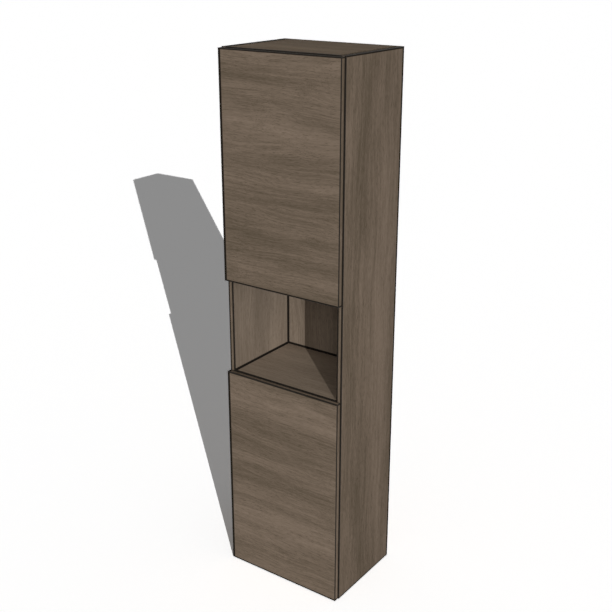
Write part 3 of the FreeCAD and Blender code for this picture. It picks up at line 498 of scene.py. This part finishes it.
strips = []
side_edges = [sign * place for sign in (-1, 1) for place in (SIDE_INNER, SIDE_OUTER)]
level_lines = list(corner_lines)
for near, far in ((-SIDE_OUTER, -SIDE_INNER), (SIDE_INNER, SIDE_OUTER)):
    strips.append((Vector((near, FRONT_PLANE, 0)), Vector((far, BOARD_FRONT, TOP_PLANE)), "-y",
                   ("-x", "+x", "-z", "+z"), "z"))
    strips.append((Vector((near, BOARD_FRONT, BOARD_TOP)), Vector((far, CARCASS_REAR, TOP_PLANE)), "+z",
                   ("-x", "+x", "+y"), "y"))
for node in CROSS_BOARDS:
    low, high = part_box(node)
    level_lines += [("z", low.z, FINE), ("z", high.z, FINE)]
    strips.append((Vector((low.x, FRONT_PLANE, low.z)), Vector((high.x, BOARD_FRONT, high.z)), "-y",
                   ("-x", "+x", "-z", "+z"), "x"))
for node in SHELVES:
    low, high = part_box(node)
    strips.append((Vector((low.x, low.y - BAND_THICKNESS, low.z)), Vector((high.x, low.y, high.z)),
                   "-y", ("-x", "+x", "-z", "+z"), "x"))
# The band prints are painted dark along their edges and into the niche's corners, as painted shade.
banding("carcass_bands", "carcass_edge_bands", "carcass", strips,
        {"x": level_lines, "y": [("x", place, WIDE) for place in side_edges],
         "z": [("x", place, FINE) for place in side_edges]})


# Loose shelves: 16 mm boards of the same decor behind the doors, banded in front. Each lies
# on four turned steel pins that are pushed into the rows of holes in the sides.

# Each shelf is cut from the print a step further across it than the last.
SHELF_ALONG, SHELF_STEP, SHELF_IN_LOG = 0.8, 0.4, 0.7
for number, node in enumerate(SHELVES):
    shelf_cut = (SHELF_ALONG, SHELF_STEP * number, SHELF_IN_LOG)
    decor = walnut_decor("walnut_melamine_" + node, "x", shelf_cut, (), INSIDE_BRIGHTENED_TONES)
    faced(node + "_board", node, "carcass", [decor, CORE],
          lambda face: 0 if abs(face.normal.z) > FACING else 1)
finish("shelf_pins", nickel)


# Hinges: pressed and nickel-plated steel. A cross plate and a channel arm are screwed to the
# left side, and a deep-drawn cup in the door turns on the pin in the arm's neck. The screws
# have round heads with a cross recess.

PRESSED_EDGE = 0.3 * MM
HEAD_ROUND = 0.35 * MM
HEAD_FACING = 0.999
RECESS_REACH, RECESS_HALF_WIDTH, RECESS_DEPTH, RECESS_RIM = 1.9 * MM, 0.45 * MM, 0.8 * MM, 0.1 * MM
NEVER_ZERO = 1e-6


def cross_recess(shape, face):
    """Sink a cross recess into the flat top of a screw head."""
    way = face.normal.copy()
    centre = face.calc_center_median()
    bmesh.ops.inset_individual(shape, faces=[face], thickness=RECESS_RIM)
    across = way.orthogonal().normalized()
    up = way.cross(across)
    for vert in face.verts:
        offset = vert.co - centre
        turn = math.atan2(offset.dot(up), offset.dot(across))
        off_arm = abs((turn + math.pi / 4) % (math.pi / 2) - math.pi / 4)
        radius = min(RECESS_REACH / math.cos(off_arm),
                     RECESS_HALF_WIDTH / max(math.sin(off_arm), NEVER_ZERO))
        vert.co = centre + offset.normalized() * radius
    sunk = bmesh.ops.extrude_discrete_faces(shape, faces=[face])["faces"][0]
    bmesh.ops.translate(shape, verts=sunk.verts, vec=-way * RECESS_DEPTH)


def cross_head_screws(name, node, body, material, head_way):
    """Merged copies of the CAD screws with rounded heads and cross recesses. The head's way is
    given by a function of a place, because like screws look both ways."""
    def tops():
        return [face for face in shape.faces
                if face.normal.dot(head_way(face.calc_center_median())) > HEAD_FACING]

    shape = merged_copy(node)
    rims = dict.fromkeys(edge for face in tops() for edge in face.edges)
    bmesh.ops.bevel(shape, geom=list(rims), offset=HEAD_ROUND, segments=3, profile=0.5,
                    affect="EDGES", material=-1)
    for face in tops():
        cross_recess(shape, face)
    return finished(name, shape, [material], node, body)


for level in ("lower", "upper"):
    for place in ("low", "high"):
        hinge = f"{level}_hinge_{place}"
        rounded_fitting(hinge + "_base", hinge + "_plate", "carcass", nickel,
                        PRESSED_EDGE)
        rounded_fitting(hinge + "_channel", hinge + "_arm", "carcass", nickel,
                        PRESSED_EDGE)
        rounded_fitting(hinge + "_pot", hinge + "_cup", level + "_door", nickel,
                        PRESSED_EDGE, whole_faces=False)
        finish(hinge + "_pin", nickel)
    cross_head_screws(level + "_cup_fixings", level + "_cup_screws", level + "_door",
                      nickel, lambda place: WAYS["+y"])
cross_head_screws("arm_fixings", "hinge_arm_screws", "carcass", nickel,
                  lambda place: WAYS["+x"])
cross_head_screws("side_fixings", "euro_screws", "carcass", nickel,
                  lambda place: WAYS["-x" if place.x > 0 else "+x"])


# Push latches: a moulded housing screwed to the right side, with a plunger that a steel
# spring pushes out against a plated strike on the door. Housing and plunger are acetal.

def moulded_acetal(name, dark, light):
    """Injection-moulded acetal: matt, with a fine spark-eroded grain and faint flow clouds."""
    grain, flow_size = 0.9 * MM, 20 * MM
    material = new_material(name)
    place = add(material, "TexCoord").outputs["Object"]
    pits = add(material, "TexNoise", {"Vector": place, "Scale": 1 / grain, "Detail": 2.0})
    flow = add(material, "TexNoise", {"Vector": place, "Scale": 1 / flow_size, "Detail": 2.0})
    colour = add(material, "ValToRGB", {"Fac": flow.outputs[0]}, ((0.3, dark), (0.7, light)))
    matt = add(material, "MapRange", {"Value": pits.outputs[0], "To Min": 0.40, "To Max": 0.60})
    relief = add(material, "Bump", {"Height": pits.outputs[0], "Strength": 0.2, "Distance": 0.2 * MM})
    shader = add(material, "BsdfPrincipled",
                 {"Base Color": colour.outputs["Color"], "Roughness": matt.outputs[0],
                  "Normal": relief.outputs[0]})
    add(material, "OutputMaterial", {"Surface": shader.outputs[0]})
    return material


HOUSING_ROUND = 0.8 * MM
grey = moulded_acetal("grey_acetal", "#6E7072", "#7C7E80")
for level in ("lower", "upper"):
    latch = level + "_latch"
    rounded_fitting(latch + "_case", latch + "_housing", "carcass", grey,
                    HOUSING_ROUND)
    rounded_fitting(latch + "_disc", latch + "_strike", level + "_door", nickel,
                    PRESSED_EDGE)
    finish(latch + "_plunger", grey)
    finish(latch + "_spring", nickel)


# Wall hangers: die-cast bodies screwed into the upper rear corners, with steel hooks that
# their two screws adjust. The hooks hang on a folded, galvanised rail that is screwed to the
# wall and lies in the recess behind the back.

def galvanised_sheet():
    """Hot-dip galvanised steel: a cool grey with the faint patches of zinc crystals."""
    crystal, grit = 9 * MM, 1.0 * MM
    material = new_material("galvanised_steel")
    place = add(material, "TexCoord").outputs["Object"]
    crystals = add(material, "TexVoronoi", {"Vector": place, "Scale": 1 / crystal, "Randomness": 1.0})
    rough = add(material, "TexNoise", {"Vector": place, "Scale": 1 / grit, "Detail": 2.0})
    shade = add(material, "SeparateColor", {"Color": crystals.outputs["Color"]})
    colour = add(material, "ValToRGB", {"Fac": shade.outputs[0]}, ((0.0, "#85888A"), (1.0, "#95989A")))
    gloss = add(material, "MapRange", {"Value": shade.outputs[0], "To Min": 0.38, "To Max": 0.50})
    relief = add(material, "Bump", {"Height": rough.outputs[0], "Strength": 0.06, "Distance": 0.1 * MM})
    shader = add(material, "BsdfPrincipled",
                 {"Base Color": colour.outputs["Color"], "Metallic": 1.0, "Roughness": gloss.outputs[0],
                  "Normal": relief.outputs[0]})
    add(material, "OutputMaterial", {"Surface": shader.outputs[0]})
    return material


CAST_ROUND, HOOK_ROUND, RAIL_ROUND = 1.0 * MM, 0.5 * MM, 0.6 * MM
galvanised = galvanised_sheet()
for side in ("left", "right"):
    rounded_fitting("hanger_case_" + side, "hanger_body_" + side, "carcass", zinc, CAST_ROUND)
    rounded_fitting("hanger_claw_" + side, "hanger_hook_" + side, "carcass",
                    galvanised, HOOK_ROUND)
cross_head_screws("hanger_fixings", "hanger_adjusters", "carcass", nickel,
                  lambda place: WAYS["-y"])
rounded_fitting("wall_strip", "wall_rail", "carcass", galvanised, RAIL_ROUND)


# Doors: overlay doors of the same board, bored for the hinge cups and banded all round. The
# grain runs across, and each door is cut from its own stretch of the print.

# For each door, where its front is cut from the print, and the width of the dark lines painted along its
# edges as painted shade.
FRONT_CUTS = {"lower": (0.93, 0.35, 3.412), "upper": (-3.29, 0.35, -5.075)}
EDGE_WIDTHS = {"lower": HAIR, "upper": WIDE}
INSIDE_CUT = (1.1, 0.85, 0.65)
for level in ("lower", "upper"):
    node = level + "_door"
    low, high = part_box(node + "_edge_bands")
    core_low, core_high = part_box(node)
    # The front and its bands are painted dark along the door's edges, as painted shade.
    hinge_line = [("x", low.x, BROAD)]
    end_lines = [("z", low.z, FINE), ("z", high.z, SLIM)]
    edge_lines = [("y", place, EDGE_WIDTHS[level]) for place in (low.y, high.y)]
    front = walnut_decor(f"walnut_melamine_{level}_front", "x", FRONT_CUTS[level],
                         hinge_line + end_lines)
    inside = walnut_decor(f"walnut_melamine_{level}_inside", "x", INSIDE_CUT)
    faced(node + "_board", node, node, [front, inside, CORE], two_faced("-y"))

    strips = []
    for bottom, top, way in ((low.z, core_low.z, "-z"), (core_high.z, high.z, "+z")):
        strips.append((Vector((low.x, low.y, bottom)), Vector((high.x, high.y, top)), way,
                       ("-x", "+x", "-y", "+y"), "x"))
    for near, far, way in ((low.x, core_low.x, "-x"), (core_high.x, high.x, "+x")):
        strips.append((Vector((near, low.y, core_low.z)), Vector((far, high.y, core_high.z)), way,
                       ("-y", "+y"), "z"))
    banding(node + "_bands", node + "_edge_bands", node, strips,
            {"x": edge_lines + hinge_line, "z": [("y", low.y, HAIR)] + end_lines})


# The stage: a wide pale floor, one low key light from the front right, a large softbox in
# front and another behind that light the object alone, and a soft fill from all round that
# is brighter low down at the rear.

FLOOR_REACH = 150.0
FLOOR_COLOUR = "#E6E6E6"
# The lens sees the floor brighter than it is, so that it is white, and lit as if it leaned
# towards the key light, so that the shadow on it is deep.
FLOOR_BRIGHT = 2.09
FLOOR_LEAN = 0.26
KEY_WAY = (-0.718, 0.638, -0.280)
WHITE = "#FFFFFF"
FILL_LIGHT = 0.12
REAR_WAY, REAR_LIGHT, REAR_HEIGHT = (-0.55, 0.835, 0), 0.30, 0.8


def shown_to_lens(tree):
    """Whether a ray comes from the camera, a reflection or glass, which see a white studio."""
    seen = add(tree, "LightPath").outputs
    glossy = add(tree, "Math", {0: seen["Is Camera Ray"], 1: seen["Is Glossy Ray"]},
                 operation="MAXIMUM")
    shown = add(tree, "Math", {0: glossy.outputs[0], 1: seen["Is Transmission Ray"]},
                operation="MAXIMUM")
    return shown.outputs[0]


shape = bmesh.new()
bmesh.ops.create_grid(shape, x_segments=1, y_segments=1, size=FLOOR_REACH)
mesh = bpy.data.meshes.new("floor")
shape.to_mesh(mesh)
shape.free()
floor = bpy.data.objects.new("floor", mesh)
bpy.context.collection.objects.link(floor)
paint = new_material("pale_floor")
pale = add(paint, "BsdfDiffuse", {"Color": linear(FLOOR_COLOUR)})
lean = Vector((0, 0, 1)) - FLOOR_LEAN * Vector(KEY_WAY)
leaning = add(paint, "CombineXYZ", dict(zip("XYZ", lean.normalized())))
bright = add(paint, "BsdfDiffuse",
             {"Color": (FLOOR_BRIGHT, FLOOR_BRIGHT, FLOOR_BRIGHT, 1.0), "Normal": leaning.outputs[0]})
lit_floor = add(paint, "MixShader",
                {0: shown_to_lens(paint), 1: pale.outputs[0], 2: bright.outputs[0]})
add(paint, "OutputMaterial", {"Surface": lit_floor.outputs[0]})
mesh.materials.append(paint)

world = bpy.data.worlds.new("studio")
bpy.context.scene.world = world
world.use_nodes = True
world.node_tree.nodes.clear()
direction = add(world, "TexCoord").outputs["Generated"]
height = add(world, "SeparateXYZ", {"Vector": direction}).outputs["Z"]
behind = add(world, "VectorMath", {0: direction, 1: REAR_WAY}, operation="DOT_PRODUCT")
rear = add(world, "MapRange", {"Value": behind.outputs["Value"], "To Max": REAR_LIGHT})
low_down = add(world, "MapRange",
               {"Value": height, "From Max": REAR_HEIGHT, "To Min": 1.0, "To Max": 0.0})
strength = add(world, "Math", {0: rear.outputs[0], 1: low_down.outputs[0], 2: FILL_LIGHT},
               operation="MULTIPLY_ADD")
fill = add(world, "Background", {"Color": linear(WHITE), "Strength": strength.outputs[0]})
backdrop = add(world, "Background", {"Color": linear(WHITE), "Strength": 1.0})
studio = add(world, "MixShader",
             {0: shown_to_lens(world), 1: fill.outputs[0], 2: backdrop.outputs[0]})
add(world, "OutputWorld", {"Surface": studio.outputs[0]})

# Each lamp: its strength, its width in degrees, the way its light travels, and whether it
# lights the floor too.
LAMPS = {
    "key": (2.3, 0.1, KEY_WAY, True),
    "softbox": (1.4, 60.0, (-0.48, 0.71, -0.51), False),
    "rim": (2.0, 60.0, (0.64, -0.77, -0.04), False),
}
spared = bpy.data.collections.new("spared_by_softboxes")
spared.objects.link(floor)
spared.collection_objects[0].light_linking.link_state = "EXCLUDE"
for name, (energy, angle, way, on_floor) in LAMPS.items():
    lamp = bpy.data.lights.new(name, "SUN")
    lamp.energy = energy
    lamp.angle = math.radians(angle)
    placed = bpy.data.objects.new(name, lamp)
    placed.rotation_euler = Vector(way).to_track_quat("-Z", "Y").to_euler()
    bpy.context.collection.objects.link(placed)
    if not on_floor:
        placed.light_linking.receiver_collection = spared
        placed.visible_glossy = False


# The camera stands in front of the cabinet and to its right, a little above its top, and
# looks down at the angle of the photograph.

SENSOR = 36.0
VIEW_ANGLE = math.radians(34.87)
CAMERA_PLACE = (1.5457, -2.1819, 1.8578)
CAMERA_TILT, CAMERA_TURN = math.radians(69.572), math.radians(35.594)
FARTHEST = 500.0

camera = bpy.data.cameras.new("camera")
camera.sensor_fit = "HORIZONTAL"
camera.sensor_width = SENSOR
camera.lens = SENSOR / 2 / math.tan(VIEW_ANGLE / 2)
camera.clip_end = FARTHEST
view = bpy.data.objects.new("camera", camera)
view.location = CAMERA_PLACE
view.rotation_euler = (CAMERA_TILT, 0, CAMERA_TURN)
bpy.context.collection.objects.link(view)
bpy.context.scene.camera = view
bpy.context.scene.view_settings.view_transform = "Standard"
